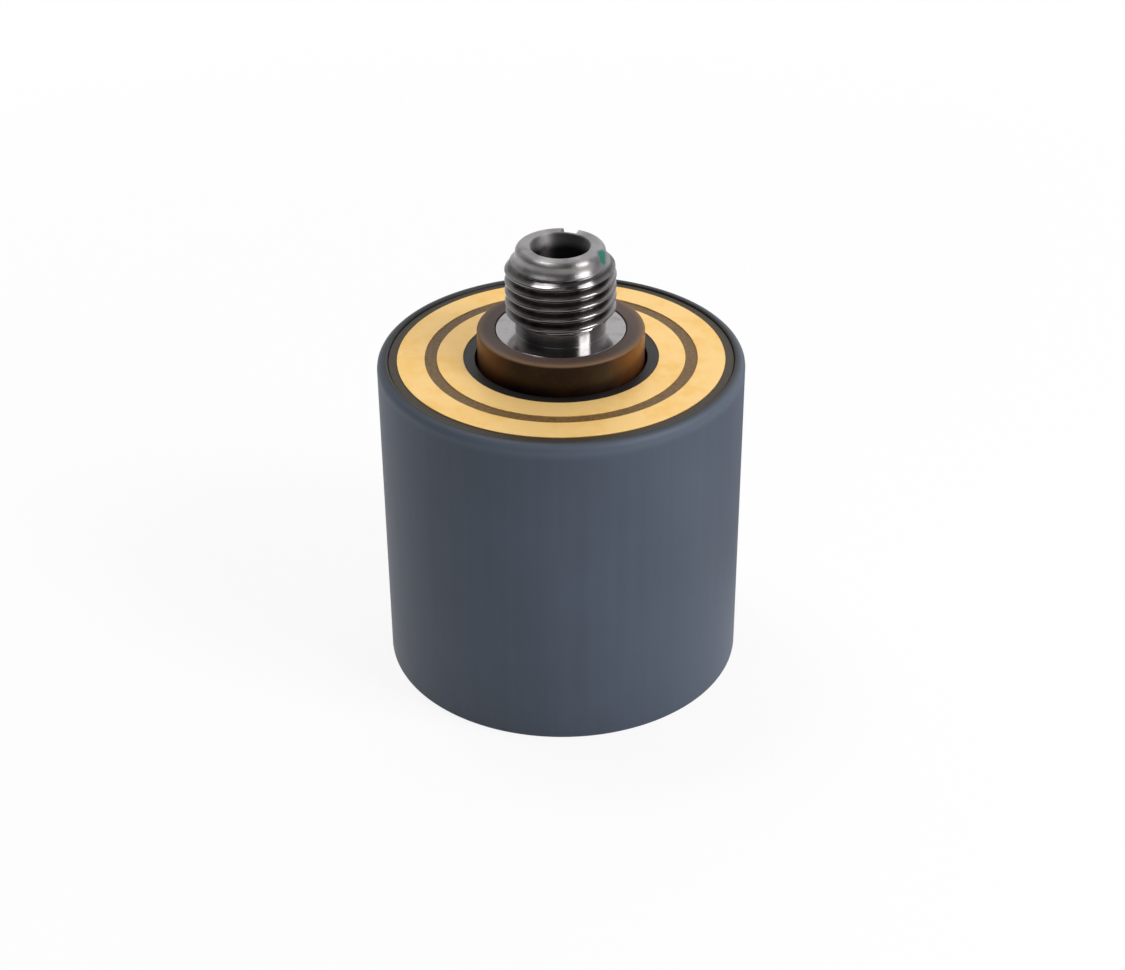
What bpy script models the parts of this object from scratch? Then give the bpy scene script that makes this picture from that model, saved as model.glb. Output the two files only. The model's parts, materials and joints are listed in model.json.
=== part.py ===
# Screw-in pressure module: a round grey housing with a laminate board that carries two gold contact rings
# round a threaded steel spigot. It stands on its base with the spigot up, on the Z axis.
# Radial sizes build outwards from the spigot's thread, and heights build up from the base.
import math

import bmesh
import bpy
from mathutils import Matrix, Vector

MM = 0.001

# Clearances
FIT_GAP = 0.1 * MM  # round a piece that seats in a bore
SEAT_GAP = 0.05 * MM  # under a piece that rests on a flat face
CUT_MARGIN = 1.0 * MM  # how far a cutter runs past the wall that it cuts

# Spigot above the board: a male quarter-inch parallel pipe thread over a relieved neck
THREAD_RADIUS = 6.5785 * MM
THREAD_PITCH = 1.337 * MM
THREAD_LENGTH = 9.0 * MM
THREAD_FLANK = math.radians(27.5)
THREAD_DEPTH = 0.6403 * THREAD_PITCH
THREAD_CHAMFER = 1.28 * MM
THREAD_RUNOUT = 0.9 * MM
THREAD_OVERCUT = 0.15 * MM
CREST_BELOW_TOP = 2.6 * MM  # from the spigot's end to a thread crest, on the front
NOSE_LENGTH = 1.3 * MM  # the plain nose above the thread's chamfer
NECK_RELIEF = 0.32 * MM  # how far the neck lies under the thread's root
NECK_LENGTH = 1.7 * MM
SHOULDER_WIDTH = 1.17 * MM
SHOULDER_ABOVE_BOARD = 3.75 * MM
BORE_RADIUS = 3.5 * MM
BORE_DEPTH = 10.0 * MM
BORE_CHAMFER = 0.1 * MM
PASSAGE_RADIUS = 1.0 * MM
END_NICK_WIDTH = 1.8 * MM
END_NICK_LAND = 0.1 * MM  # what the nick leaves of the end's flat, beside the bore
END_NICK_FALL = math.radians(30)
END_NICK_ANGLE = math.radians(74.5)

# Insulating collar
COLLAR_WALL = 2.15 * MM
COLLAR_ABOVE_SHOULDER = 0.1 * MM
COLLAR_EDGE = 0.25 * MM

# Contact board and its rings, from the collar outwards
BOARD_HOLE_GAP = 0.3 * MM
INNER_MARGIN = 1.4 * MM
INNER_RING_WIDTH = 3.15 * MM
RING_SPACING = 1.45 * MM
OUTER_RING_WIDTH = 3.3 * MM
OUTER_MARGIN = 1.05 * MM
RING_THICKNESS = 0.1 * MM
CONTACT_BOARD_THICKNESS = 1.6 * MM

# Housing
BOARD_EDGE_GAP = 0.05 * MM
LIP_WALL = 1.3 * MM
LIP_ABOVE_BOARD = 0.25 * MM
LIP_ROUND = 1.0 * MM
LIP_INNER_CHAMFER = 0.2 * MM
LEDGE_WIDTH = 0.8 * MM
BASE_THICKNESS = 2.6 * MM
BASE_ROUND = 0.35 * MM
BOSS_MARGIN = 0.65 * MM  # how far a boss stands out past the head of its screw
BOSS_OVERLAP = 0.3 * MM
BOSS_COUNT = 3

# Pressure capsule in its pocket under the spigot
CAPSULE_RADIUS = 9.5 * MM
CAPSULE_HEIGHT = 6.5 * MM
CAPSULE_RECESS = 0.8 * MM
CAPSULE_RIM = 1.3 * MM
SEAL_GROOVE_DEPTH = 1.4 * MM
SEAL_GROOVE_WIDTH = 2.0 * MM
SEAL_GROOVE_BELOW_TOP = 1.5 * MM
DIAPHRAGM_THICKNESS = 0.12 * MM
DIAPHRAGM_WAVE = 0.08 * MM
DIAPHRAGM_WAVES = 3
GLASS_RADIUS = 5.0 * MM
GLASS_THICKNESS = 1.5 * MM
PIN_RADIUS = 0.3 * MM
PIN_CIRCLE_RADIUS = 3.0 * MM
PIN_COUNT = 4
PIN_BELOW_BOARD = 1.0 * MM
POCKET_ROOF = 2.1 * MM
CUP_WALL = 3.0 * MM
CLAMP_RING_HEIGHT = 2.6 * MM
CLAMP_RING_WALL = 2.9 * MM
CLAMP_RING_INSET = 0.4 * MM
SPANNER_SLOT_WIDTH = 1.5 * MM
SPANNER_SLOT_DEPTH = 1.2 * MM

# Leads
LEAD_RADIUS = 0.5 * MM
LEAD_SPACING = 2.7 * MM  # between neighbours, in the flange's notch
LEAD_CLEARANCE = 0.8 * MM  # between an outer lead and the side of the notch
LEAD_RISE = 1.2 * MM  # straight stretch of a lead at each end

# Spigot flange, which carries the works on the housing's bosses
FLANGE_THICKNESS = 3.0 * MM
FLANGE_CLEARANCE = 0.3 * MM
HUB_HEIGHT = 3.6 * MM
BOARD_ABOVE_HUB = 1.5 * MM
LEAD_NOTCH_DEPTH = 4.6 * MM
LEAD_NOTCH_ANGLE = math.radians(60)

# Signal board under the capsule
UNDERBOARD_SPACE = 9.85 * MM
SIGNAL_BOARD_THICKNESS = 1.6 * MM
SIGNAL_BOARD_CLEARANCE = 1.0 * MM
PILLAR_LENGTH = 5.0 * MM
PILLAR_ACROSS_FLATS = 2.6 * MM
PILLAR_STUD_LENGTH = 2.2 * MM
PILLAR_COUNT = 3
PILLAR_ANGLE = math.radians(30)

# Screws: shank radius, head radius, head height and how far each reaches past what it holds
CHASSIS_SCREW = {"shank": 1.25 * MM, "head": 1.95 * MM, "head_height": 1.5 * MM, "reach": 6.0 * MM}
BOARD_SCREW = {"shank": 0.6 * MM, "head": 1.2 * MM, "head_height": 0.8 * MM, "reach": 2.0 * MM}
SOCKET_SHARE = 0.55  # a socket's radius and depth as a share of its screw head's
HEAD_EDGE_SHARE = 0.25  # the bevel on a head, as a share of its height
TAG_THICKNESS = 0.4 * MM
TAG_TONGUE = 3.0 * MM

# Chips under the signal board, in rows that run out between the pillars.
# Each has its length along the row, its width and its height.
PROCESSOR = (5.6 * MM, 5.6 * MM, 1.0 * MM)
CONVERTER = (4.4 * MM, 5.0 * MM, 1.2 * MM)
MEMORY = (3.9 * MM, 4.9 * MM, 1.4 * MM)
CRYSTAL = (2.4 * MM, 4.8 * MM, 1.2 * MM)
CAPACITOR = (2.6 * MM, 3.5 * MM, 1.9 * MM)
CHIP_ROWS = [
    {"processor_chip": PROCESSOR, "reservoir_capacitor_1": CAPACITOR},
    {"converter_chip": CONVERTER, "crystal_can": CRYSTAL},
    {"memory_chip": MEMORY, "reservoir_capacitor_2": CAPACITOR},
]
CHIP_SPACING = 0.6 * MM
CHIP_ROUND = 0.15 * MM

# How finely round things are divided
FINE_SIDES = 64
MEDIUM_SIDES = 48
SMALL_SIDES = 24
SCREW_SIDES = 16
PIN_SIDES = 12
HEXAGON_SIDES = 6
THREAD_STEPS = 32
ARC_STEPS = 3
SEAL_ARC_STEPS = 2
LEAD_BEVEL_STEPS = 2  # gives eight sides
LEAD_STEPS = 4
MERGE_DISTANCE = 1e-7
SHARP_ANGLE = math.radians(35)

# Radial stations, from the thread outwards
thread_root_radius = THREAD_RADIUS - THREAD_DEPTH
neck_radius = thread_root_radius - NECK_RELIEF
nose_radius = THREAD_RADIUS - THREAD_CHAMFER
shoulder_radius = THREAD_RADIUS + SHOULDER_WIDTH
collar_radius = shoulder_radius + FIT_GAP + COLLAR_WALL
board_hole_radius = collar_radius + BOARD_HOLE_GAP
inner_ring_inside = board_hole_radius + INNER_MARGIN
inner_ring_outside = inner_ring_inside + INNER_RING_WIDTH
outer_ring_inside = inner_ring_outside + RING_SPACING
outer_ring_outside = outer_ring_inside + OUTER_RING_WIDTH
contact_board_radius = outer_ring_outside + OUTER_MARGIN
lip_inside = contact_board_radius + BOARD_EDGE_GAP
housing_radius = lip_inside + LIP_WALL
ledge_inside = lip_inside - LEDGE_WIDTH
boss_radius = CHASSIS_SCREW["head"] + BOSS_MARGIN
boss_circle = ledge_inside - boss_radius + BOSS_OVERLAP
flange_radius = ledge_inside - FLANGE_CLEARANCE
notch_middle = flange_radius - LEAD_NOTCH_DEPTH / 2
pocket_radius = CAPSULE_RADIUS + FIT_GAP
cup_radius = pocket_radius + CUP_WALL
pillar_circle = pocket_radius + CUP_WALL / 2
signal_board_radius = boss_circle - boss_radius - SIGNAL_BOARD_CLEARANCE

# Heights, from the base up
signal_board_bottom = BASE_THICKNESS + UNDERBOARD_SPACE
signal_board_top = signal_board_bottom + SIGNAL_BOARD_THICKNESS
cup_bottom = signal_board_top + PILLAR_LENGTH + 2 * SEAT_GAP
clamp_bottom = cup_bottom + CLAMP_RING_INSET
capsule_bottom = clamp_bottom + CLAMP_RING_HEIGHT + SEAT_GAP
capsule_top = capsule_bottom + CAPSULE_HEIGHT
pocket_top = capsule_top + SEAT_GAP
flange_bottom = pocket_top + POCKET_ROOF
flange_top = flange_bottom + FLANGE_THICKNESS
tag_bottom = flange_top + SEAT_GAP
tag_top = tag_bottom + TAG_THICKNESS
hub_top = flange_top + HUB_HEIGHT
contact_board_bottom = hub_top + BOARD_ABOVE_HUB
contact_board_top = contact_board_bottom + CONTACT_BOARD_THICKNESS
ledge_top = contact_board_bottom - SEAT_GAP
boss_top = flange_bottom - SEAT_GAP
housing_top = contact_board_top + LIP_ABOVE_BOARD
shoulder_top = contact_board_top + SHOULDER_ABOVE_BOARD
collar_top = shoulder_top + COLLAR_ABOVE_SHOULDER
neck_top = shoulder_top + NECK_LENGTH
spigot_top = neck_top + THREAD_LENGTH
nose_bottom = spigot_top - NOSE_LENGTH

# Colour, roughness and metallic value of each material
MATERIALS = {
    "housing": ((0.075, 0.088, 0.112), 0.5, 0.0),
    "laminate": ((0.13, 0.085, 0.05), 0.45, 0.0),
    "gold": ((0.86, 0.6, 0.26), 0.3, 1.0),
    "collar": ((0.1, 0.045, 0.02), 0.3, 0.0),
    "steel": ((0.55, 0.54, 0.53), 0.25, 1.0),
    "brass": ((0.7, 0.5, 0.22), 0.35, 1.0),
    "glass": ((0.1, 0.16, 0.14), 0.15, 0.0),
    "seal": ((0.02, 0.02, 0.02), 0.6, 0.0),
    "board": ((0.02, 0.13, 0.05), 0.4, 0.0),
    "chip": ((0.02, 0.02, 0.022), 0.5, 0.0),
    "red_lead": ((0.5, 0.02, 0.02), 0.5, 0.0),
    "blue_lead": ((0.02, 0.06, 0.4), 0.5, 0.0),
    "green_lead": ((0.03, 0.25, 0.05), 0.5, 0.0),
}


def clear_scene():
    for obj in list(bpy.data.objects):
        bpy.data.objects.remove(obj, do_unlink=True)


def material(name):
    found = bpy.data.materials.get(name)
    if found:
        return found
    colour, roughness, metallic = MATERIALS[name]
    made = bpy.data.materials.new(name)
    made.use_nodes = True
    shader = made.node_tree.nodes["Principled BSDF"]
    shader.inputs["Base Color"].default_value = (*colour, 1.0)
    shader.inputs["Roughness"].default_value = roughness
    shader.inputs["Metallic"].default_value = metallic
    return made


def object_from(bm, name, material_name):
    """A named object from a bmesh, with its faces out and its round sides shaded smooth."""
    bmesh.ops.remove_doubles(bm, verts=bm.verts, dist=MERGE_DISTANCE)
    bmesh.ops.recalc_face_normals(bm, faces=bm.faces)
    mesh = bpy.data.meshes.new(name)
    bm.to_mesh(mesh)
    bm.free()
    mesh.shade_smooth()
    mesh.set_sharp_from_angle(angle=SHARP_ANGLE)
    obj = bpy.data.objects.new(name, mesh)
    bpy.context.scene.collection.objects.link(obj)
    if material_name:
        mesh.materials.append(material(material_name))
    return obj


def turned(name, profile, steps, material_name=None):
    """A turned piece: the closed outline of (radius, height) points, spun once round Z."""
    bm = bmesh.new()
    points = [bm.verts.new((radius, 0, height)) for radius, height in profile]
    pairs = zip(points, points[1:] + points[:1])
    edges = [bm.edges.new((a, b)) for a, b in pairs if a.co.x or b.co.x]
    bmesh.ops.spin(
        bm, geom=points + edges, axis=(0, 0, 1), cent=(0, 0, 0), steps=steps, angle=math.tau, use_merge=True
    )
    return object_from(bm, name, material_name)


def quarter(centre, radius, start, steps=ARC_STEPS):
    """Points of a quarter circle in the profile plane, anticlockwise from the start angle in degrees."""
    angles = [math.radians(start + 90 * i / steps) for i in range(steps + 1)]
    return [(centre[0] + radius * math.cos(a), centre[1] + radius * math.sin(a)) for a in angles]


def ring_outline(inside, outside, bottom, top):
    """The outline of a plain flat ring."""
    return [(inside, bottom), (outside, bottom), (outside, top), (inside, top)]


def box(name, size, centre, turn=0.0, material_name=None, round_edges=0.0):
    """A block whose centre is given before it is turned round Z."""
    bm = bmesh.new()
    place = Matrix.Rotation(turn, 4, "Z") @ Matrix.Translation(centre) @ Matrix.Diagonal((*size, 1))
    bmesh.ops.create_cube(bm, size=1.0, matrix=place)
    if round_edges:
        bmesh.ops.bevel(bm, geom=bm.edges, offset=round_edges, segments=1, affect="EDGES")
    return object_from(bm, name, material_name)


def post(name, radius, bottom, top, steps, material_name=None, at=(0.0, 0.0)):
    """An upright cylinder, or a prism where steps is small."""
    bm = bmesh.new()
    place = Matrix.Translation((at[0], at[1], (bottom + top) / 2))
    bmesh.ops.create_cone(
        bm, cap_ends=True, segments=steps, radius1=radius, radius2=radius, depth=top - bottom, matrix=place
    )
    return object_from(bm, name, material_name)


def around(radius, count, first=0.0):
    """Numbered places evenly spaced on a circle, each as (number, (x, y))."""
    angles = [first + math.tau * i / count for i in range(count)]
    return list(enumerate(((radius * math.cos(a), radius * math.sin(a)) for a in angles), 1))


def combine(target, tool, operation):
    """A Boolean of target with a helper, which isn't part of the object."""
    modifier = target.modifiers.new(f"{operation.lower()}_{tool.name}", "BOOLEAN")
    modifier.operation = operation
    modifier.solver = "EXACT"
    modifier.object = tool
    tool.hide_render = True
    tool.display_type = "WIRE"


def cut(target, tool):
    combine(target, tool, "DIFFERENCE")


def join(target, tool):
    combine(target, tool, "UNION")


def build_housing():
    """The one-piece moulded cup, with a ledge for the contact board and a boss for each chassis screw."""
    outline = [
        (0, 0),
        *quarter((housing_radius - BASE_ROUND, BASE_ROUND), BASE_ROUND, -90),
        *quarter((housing_radius - LIP_ROUND, housing_top - LIP_ROUND), LIP_ROUND, 0),
        (lip_inside + LIP_INNER_CHAMFER, housing_top),
        (lip_inside, housing_top - LIP_INNER_CHAMFER),
        (lip_inside, ledge_top),
        (ledge_inside, ledge_top),
        (ledge_inside, BASE_THICKNESS),
        (0, BASE_THICKNESS),
    ]
    housing = turned("housing_shell", outline, FINE_SIDES, "housing")
    boss_bottom = BASE_THICKNESS / 2
    for number, at in around(boss_circle, BOSS_COUNT):
        join(housing, post(f"boss_form_{number}", boss_radius, boss_bottom, boss_top, SMALL_SIDES, at=at))
    low, high = flange_bottom - CHASSIS_SCREW["reach"] - FIT_GAP, boss_top + CUT_MARGIN
    pilot_radius = CHASSIS_SCREW["shank"] + FIT_GAP
    for number, at in around(boss_circle, BOSS_COUNT):
        cut(housing, post(f"pilot_{number}", pilot_radius, low, high, SCREW_SIDES, at=at))


def end_nick():
    """The nick in the rim of the spigot's end, near the back. Its floor falls away from the bore."""
    inside = BORE_RADIUS + BORE_CHAMFER + END_NICK_LAND
    outside = THREAD_RADIUS + CUT_MARGIN
    fall = (outside - inside) * math.tan(END_NICK_FALL)
    high = spigot_top + CUT_MARGIN
    outline = [(inside, spigot_top), (outside, spigot_top - fall), (outside, high), (inside, high)]
    bm = bmesh.new()
    turn = Matrix.Rotation(END_NICK_ANGLE, 3, "Z")
    near = Vector((0, -END_NICK_WIDTH / 2, 0))
    corners = [bm.verts.new(turn @ (Vector((radius, 0, height)) + near)) for radius, height in outline]
    side = bmesh.ops.extrude_face_region(bm, geom=[bm.faces.new(corners)])
    moved = [part for part in side["geom"] if isinstance(part, bmesh.types.BMVert)]
    bmesh.ops.translate(bm, verts=moved, vec=turn @ Vector((0, END_NICK_WIDTH, 0)))
    return object_from(bm, "end_nick", None)


def thread_groove():
    """The helical groove of the thread: its section, swept up from the neck to past the spigot's end.
    It is turned so that a crest lies CREST_BELOW_TOP under the end, on the front."""
    widen = math.tan(THREAD_FLANK)
    root_half = (THREAD_PITCH / 2 - THREAD_DEPTH * widen) / 2
    mouth_half = root_half + (THREAD_DEPTH + THREAD_OVERCUT) * widen
    mouth_radius = THREAD_RADIUS + THREAD_OVERCUT
    start = shoulder_top + mouth_half + FIT_GAP
    turns = math.ceil((spigot_top + mouth_half - start) / THREAD_PITCH)
    groove_height = spigot_top - CREST_BELOW_TOP - THREAD_PITCH / 2 - start
    start_angle = -math.tau / 4 - math.tau * groove_height / THREAD_PITCH
    section = [
        (thread_root_radius, -root_half),
        (mouth_radius, -mouth_half),
        (mouth_radius, mouth_half),
        (thread_root_radius, root_half),
    ]
    bm = bmesh.new()
    turn = Matrix.Rotation(start_angle, 3, "Z")
    corners = [bm.verts.new(turn @ Vector((radius, 0, start + height))) for radius, height in section]
    face = bm.faces.new(corners)
    bmesh.ops.spin(
        bm,
        geom=[face],
        axis=(0, 0, 1),
        cent=(0, 0, 0),
        dvec=(0, 0, THREAD_PITCH / THREAD_STEPS),
        angle=math.tau * turns,
        steps=THREAD_STEPS * turns,
    )
    return object_from(bm, "thread_groove", None)


def build_spigot():
    """The turned spigot: nose, thread, neck, shoulder, hub, flange and the capsule's cup, bored through."""
    outline = [
        (PASSAGE_RADIUS, spigot_top - BORE_DEPTH),
        (BORE_RADIUS, spigot_top - BORE_DEPTH),
        (BORE_RADIUS, spigot_top - BORE_CHAMFER),
        (BORE_RADIUS + BORE_CHAMFER, spigot_top),
        (nose_radius, spigot_top),
        (nose_radius, nose_bottom),
        (THREAD_RADIUS, nose_bottom - THREAD_CHAMFER),
        (THREAD_RADIUS, neck_top + THREAD_RUNOUT),
        (neck_radius, neck_top),
        (neck_radius, shoulder_top),
        (shoulder_radius, shoulder_top),
        (shoulder_radius, hub_top),
        (collar_radius, hub_top),
        (collar_radius, flange_top),
        (flange_radius, flange_top),
        (flange_radius, flange_bottom),
        (cup_radius, flange_bottom),
        (cup_radius, cup_bottom),
        (pocket_radius, cup_bottom),
        (pocket_radius, pocket_top),
        (PASSAGE_RADIUS, pocket_top),
    ]
    spigot = turned("pressure_spigot", outline, MEDIUM_SIDES, "steel")
    cut(spigot, thread_groove())
    cut(spigot, end_nick())
    hole_radius = CHASSIS_SCREW["shank"] + FIT_GAP
    low, high = flange_bottom - CUT_MARGIN, flange_top + CUT_MARGIN
    for number, at in around(boss_circle, BOSS_COUNT):
        cut(spigot, post(f"screw_hole_{number}", hole_radius, low, high, SCREW_SIDES, at=at))
    notch_width = 2 * (LEAD_SPACING + LEAD_RADIUS + LEAD_CLEARANCE)
    notch_size = (2 * LEAD_NOTCH_DEPTH, notch_width, high - low)
    cut(spigot, box("lead_notch", notch_size, (flange_radius, 0, (low + high) / 2), LEAD_NOTCH_ANGLE))
    stud_radius = BOARD_SCREW["shank"] + FIT_GAP
    stud_low, stud_high = cup_bottom - CUT_MARGIN, cup_bottom + PILLAR_STUD_LENGTH + FIT_GAP
    for number, at in around(pillar_circle, PILLAR_COUNT, PILLAR_ANGLE):
        cut(spigot, post(f"stud_hole_{number}", stud_radius, stud_low, stud_high, PIN_SIDES, at=at))


def build_collar():
    """The insulating ring that stands on the spigot's hub and comes up through the board."""
    inside = shoulder_radius + FIT_GAP
    outline = [
        (inside, hub_top + SEAT_GAP),
        (collar_radius, hub_top + SEAT_GAP),
        *quarter((collar_radius - COLLAR_EDGE, collar_top - COLLAR_EDGE), COLLAR_EDGE, 0),
        (inside, collar_top),
    ]
    turned("insulating_collar", outline, MEDIUM_SIDES, "collar")


def build_contact_board():
    """The laminate disc, with the two plated rings that a carrier's sprung pins touch."""
    board = ring_outline(board_hole_radius, contact_board_radius, contact_board_bottom, contact_board_top)
    turned("contact_board", board, FINE_SIDES, "laminate")
    low, high = contact_board_top, contact_board_top + RING_THICKNESS
    outer = ring_outline(outer_ring_inside, outer_ring_outside, low, high)
    turned("outer_contact_ring", outer, FINE_SIDES, "gold")
    inner = ring_outline(inner_ring_inside, inner_ring_outside, low, high)
    turned("inner_contact_ring", inner, FINE_SIDES, "gold")


def diaphragm_outline(outside, bottom):
    """A thin sheet with round waves: its underside from the middle out, and its top side back."""
    count = 2 * DIAPHRAGM_WAVES
    lower = [(outside * i / count, bottom + DIAPHRAGM_WAVE * (i % 2)) for i in range(count + 1)]
    upper = [(radius, height + DIAPHRAGM_THICKNESS) for radius, height in reversed(lower)]
    return lower + upper


def build_capsule():
    """The sealed pressure capsule, with its diaphragm and its seal."""
    groove_top = capsule_top - SEAL_GROOVE_BELOW_TOP
    groove_bottom = groove_top - SEAL_GROOVE_WIDTH
    groove_inside = CAPSULE_RADIUS - SEAL_GROOVE_DEPTH
    recess_radius = CAPSULE_RADIUS - CAPSULE_RIM
    glass_seat = GLASS_RADIUS + FIT_GAP
    outline = [
        (0, capsule_bottom + GLASS_THICKNESS + SEAT_GAP),
        (glass_seat, capsule_bottom + GLASS_THICKNESS + SEAT_GAP),
        (glass_seat, capsule_bottom),
        (CAPSULE_RADIUS, capsule_bottom),
        (CAPSULE_RADIUS, groove_bottom),
        (groove_inside, groove_bottom),
        (groove_inside, groove_top),
        (CAPSULE_RADIUS, groove_top),
        (CAPSULE_RADIUS, capsule_top),
        (recess_radius, capsule_top),
        (recess_radius, capsule_top - CAPSULE_RECESS),
        (0, capsule_top - CAPSULE_RECESS),
    ]
    turned("capsule_body", outline, MEDIUM_SIDES, "steel")
    sheet = diaphragm_outline(recess_radius - FIT_GAP, capsule_top - CAPSULE_RECESS + SEAT_GAP)
    turned("capsule_diaphragm", sheet, SMALL_SIDES, "steel")
    section = (SEAL_GROOVE_DEPTH + FIT_GAP) / 2 - SEAT_GAP
    centre = (pocket_radius - SEAT_GAP - section, (groove_top + groove_bottom) / 2)
    loop = []
    for start in (0, 90, 180, 270):
        loop += quarter(centre, section, start, SEAL_ARC_STEPS)[:-1]
    turned("capsule_seal_ring", loop, MEDIUM_SIDES, "seal")


def build_glass_header():
    """The glass disc in the capsule's back, and its pins, which reach through the signal board."""
    glass_top = capsule_bottom + GLASS_THICKNESS
    header = post("capsule_glass_header", GLASS_RADIUS, capsule_bottom, glass_top, SMALL_SIDES, "glass")
    low, high = capsule_bottom - CUT_MARGIN, glass_top + CUT_MARGIN
    pin_bottom = signal_board_bottom - PIN_BELOW_BOARD
    for number, at in around(PIN_CIRCLE_RADIUS, PIN_COUNT, math.tau / 8):
        cut(header, post(f"pin_hole_{number}", PIN_RADIUS + FIT_GAP, low, high, PIN_SIDES, at=at))
        post(f"capsule_pin_{number}", PIN_RADIUS, pin_bottom, glass_top, PIN_SIDES, "brass", at)


def build_clamp_ring():
    """The ring screwed into the pocket under the capsule, with four slots for a pin spanner."""
    inside = CAPSULE_RADIUS - CLAMP_RING_WALL
    outline = ring_outline(inside, CAPSULE_RADIUS, clamp_bottom, clamp_bottom + CLAMP_RING_HEIGHT)
    ring = turned("capsule_clamp_ring", outline, MEDIUM_SIDES, "steel")
    size = (2 * (CAPSULE_RADIUS + CUT_MARGIN), SPANNER_SLOT_WIDTH, SPANNER_SLOT_DEPTH + CUT_MARGIN)
    centre = (0, 0, clamp_bottom + SPANNER_SLOT_DEPTH - size[2] / 2)
    cut(ring, box("spanner_slot_1", size, centre))
    cut(ring, box("spanner_slot_2", size, centre, math.tau / 4))


def screw(name, sizes, length, seat, at, head_down=False):
    """A socket-head screw of the given length under its head, which bears on the seat height."""
    head, rise = sizes["head"], sizes["head_height"]
    edge = rise * HEAD_EDGE_SHARE
    outline = [
        (0, -length),
        (sizes["shank"], -length),
        (sizes["shank"], 0),
        (head, 0),
        (head, rise - edge),
        (head - edge, rise),
        (0, rise),
    ]
    made = turned(name, outline, SCREW_SIDES, "steel")
    socket_bottom = rise * (1 - SOCKET_SHARE)
    socket = post(f"{name}_socket", head * SOCKET_SHARE, socket_bottom, rise + CUT_MARGIN, HEXAGON_SIDES)
    place = Matrix.Translation((at[0], at[1], seat))
    if head_down:
        place = place @ Matrix.Rotation(math.pi, 4, "X")
    made.data.transform(place)
    socket.data.transform(place)
    cut(made, socket)


def build_chassis_screws():
    """The screws that hold the spigot's flange on the bosses. The first also holds the earth tag."""
    for number, at in around(boss_circle, BOSS_COUNT):
        seat = (tag_top if number == 1 else flange_top) + SEAT_GAP
        length = seat - flange_bottom + CHASSIS_SCREW["reach"]
        screw(f"chassis_screw_{number}", CHASSIS_SCREW, length, seat, at)


def build_ground_tag():
    """The solder tag under the first chassis screw, which earths the spigot."""
    _, (x, y) = around(boss_circle, BOSS_COUNT)[0]
    width = CHASSIS_SCREW["head"]
    tag = post("ground_tag", width, tag_bottom, tag_top, SMALL_SIDES, "brass", (x, y))
    length = width + TAG_TONGUE
    centre = (x, y + length / 2, (tag_bottom + tag_top) / 2)
    join(tag, box("tag_tongue", (width, length, TAG_THICKNESS), centre))
    hole_radius = CHASSIS_SCREW["shank"] + FIT_GAP
    low, high = tag_bottom - CUT_MARGIN, tag_top + CUT_MARGIN
    cut(tag, post("tag_hole", hole_radius, low, high, SCREW_SIDES, at=(x, y)))


def build_signal_board():
    """The round circuit board, hung under the cup on its pillars."""
    low, high = signal_board_bottom, signal_board_top
    board = post("signal_board", signal_board_radius, low, high, MEDIUM_SIDES, "board")
    low, high = low - CUT_MARGIN, high + CUT_MARGIN
    for number, at in around(PIN_CIRCLE_RADIUS, PIN_COUNT, math.tau / 8):
        cut(board, post(f"via_{number}", PIN_RADIUS + FIT_GAP, low, high, PIN_SIDES, at=at))
    hole_radius = BOARD_SCREW["shank"] + FIT_GAP
    seat = signal_board_bottom - SEAT_GAP
    length = signal_board_top + SEAT_GAP - seat + BOARD_SCREW["reach"]
    for number, at in around(pillar_circle, PILLAR_COUNT, PILLAR_ANGLE):
        cut(board, post(f"board_hole_{number}", hole_radius, low, high, PIN_SIDES, at=at))
        build_pillar(number, at)
        screw(f"board_screw_{number}", BOARD_SCREW, length, seat, at, head_down=True)


def build_pillar(number, at):
    """A hexagonal pillar with a stud on top, tapped from below for the board screw."""
    bottom = signal_board_top + SEAT_GAP
    top = bottom + PILLAR_LENGTH
    corner_radius = PILLAR_ACROSS_FLATS / 2 / math.cos(math.pi / HEXAGON_SIDES)
    pillar = post(f"board_pillar_{number}", corner_radius, bottom, top, HEXAGON_SIDES, "brass", at)
    stud_radius = BOARD_SCREW["shank"]
    low, high = top - CUT_MARGIN, top + PILLAR_STUD_LENGTH
    join(pillar, post(f"pillar_stud_{number}", stud_radius, low, high, PIN_SIDES, at=at))
    hole_radius = stud_radius + FIT_GAP
    low, high = bottom - CUT_MARGIN, bottom + BOARD_SCREW["reach"] + FIT_GAP
    cut(pillar, post(f"tapped_hole_{number}", hole_radius, low, high, PIN_SIDES, at=at))


def build_chips():
    """Rows of chips on the board's underside, each row running out from the capsule's pins."""
    first_edge = PIN_CIRCLE_RADIUS + PIN_RADIUS + CHIP_SPACING
    seat = signal_board_bottom - SEAT_GAP
    for row, chips in enumerate(CHIP_ROWS):
        turn = PILLAR_ANGLE + math.tau * (row + 0.5) / len(CHIP_ROWS)
        edge = first_edge
        for name, (length, width, height) in chips.items():
            centre = (edge + length / 2, 0, seat - height / 2)
            box(name, (length, width, height), centre, turn, "chip", CHIP_ROUND)
            edge += length + CHIP_SPACING


def lead(name, corners, material_name):
    """An insulated wire along a smooth route through the corners."""
    curve = bpy.data.curves.new(name, "CURVE")
    curve.dimensions = "3D"
    curve.resolution_u = LEAD_STEPS
    curve.bevel_depth = LEAD_RADIUS
    curve.bevel_resolution = LEAD_BEVEL_STEPS
    curve.use_fill_caps = True
    spline = curve.splines.new("BEZIER")
    spline.bezier_points.add(len(corners) - 1)
    for point, corner in zip(spline.bezier_points, corners):
        point.co = corner
        point.handle_left_type = "AUTO"
        point.handle_right_type = "AUTO"
    curve.materials.append(material(material_name))
    obj = bpy.data.objects.new(name, curve)
    bpy.context.scene.collection.objects.link(obj)


def polar(radius, angle, height):
    return Vector((radius * math.cos(angle), radius * math.sin(angle), height))


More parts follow.
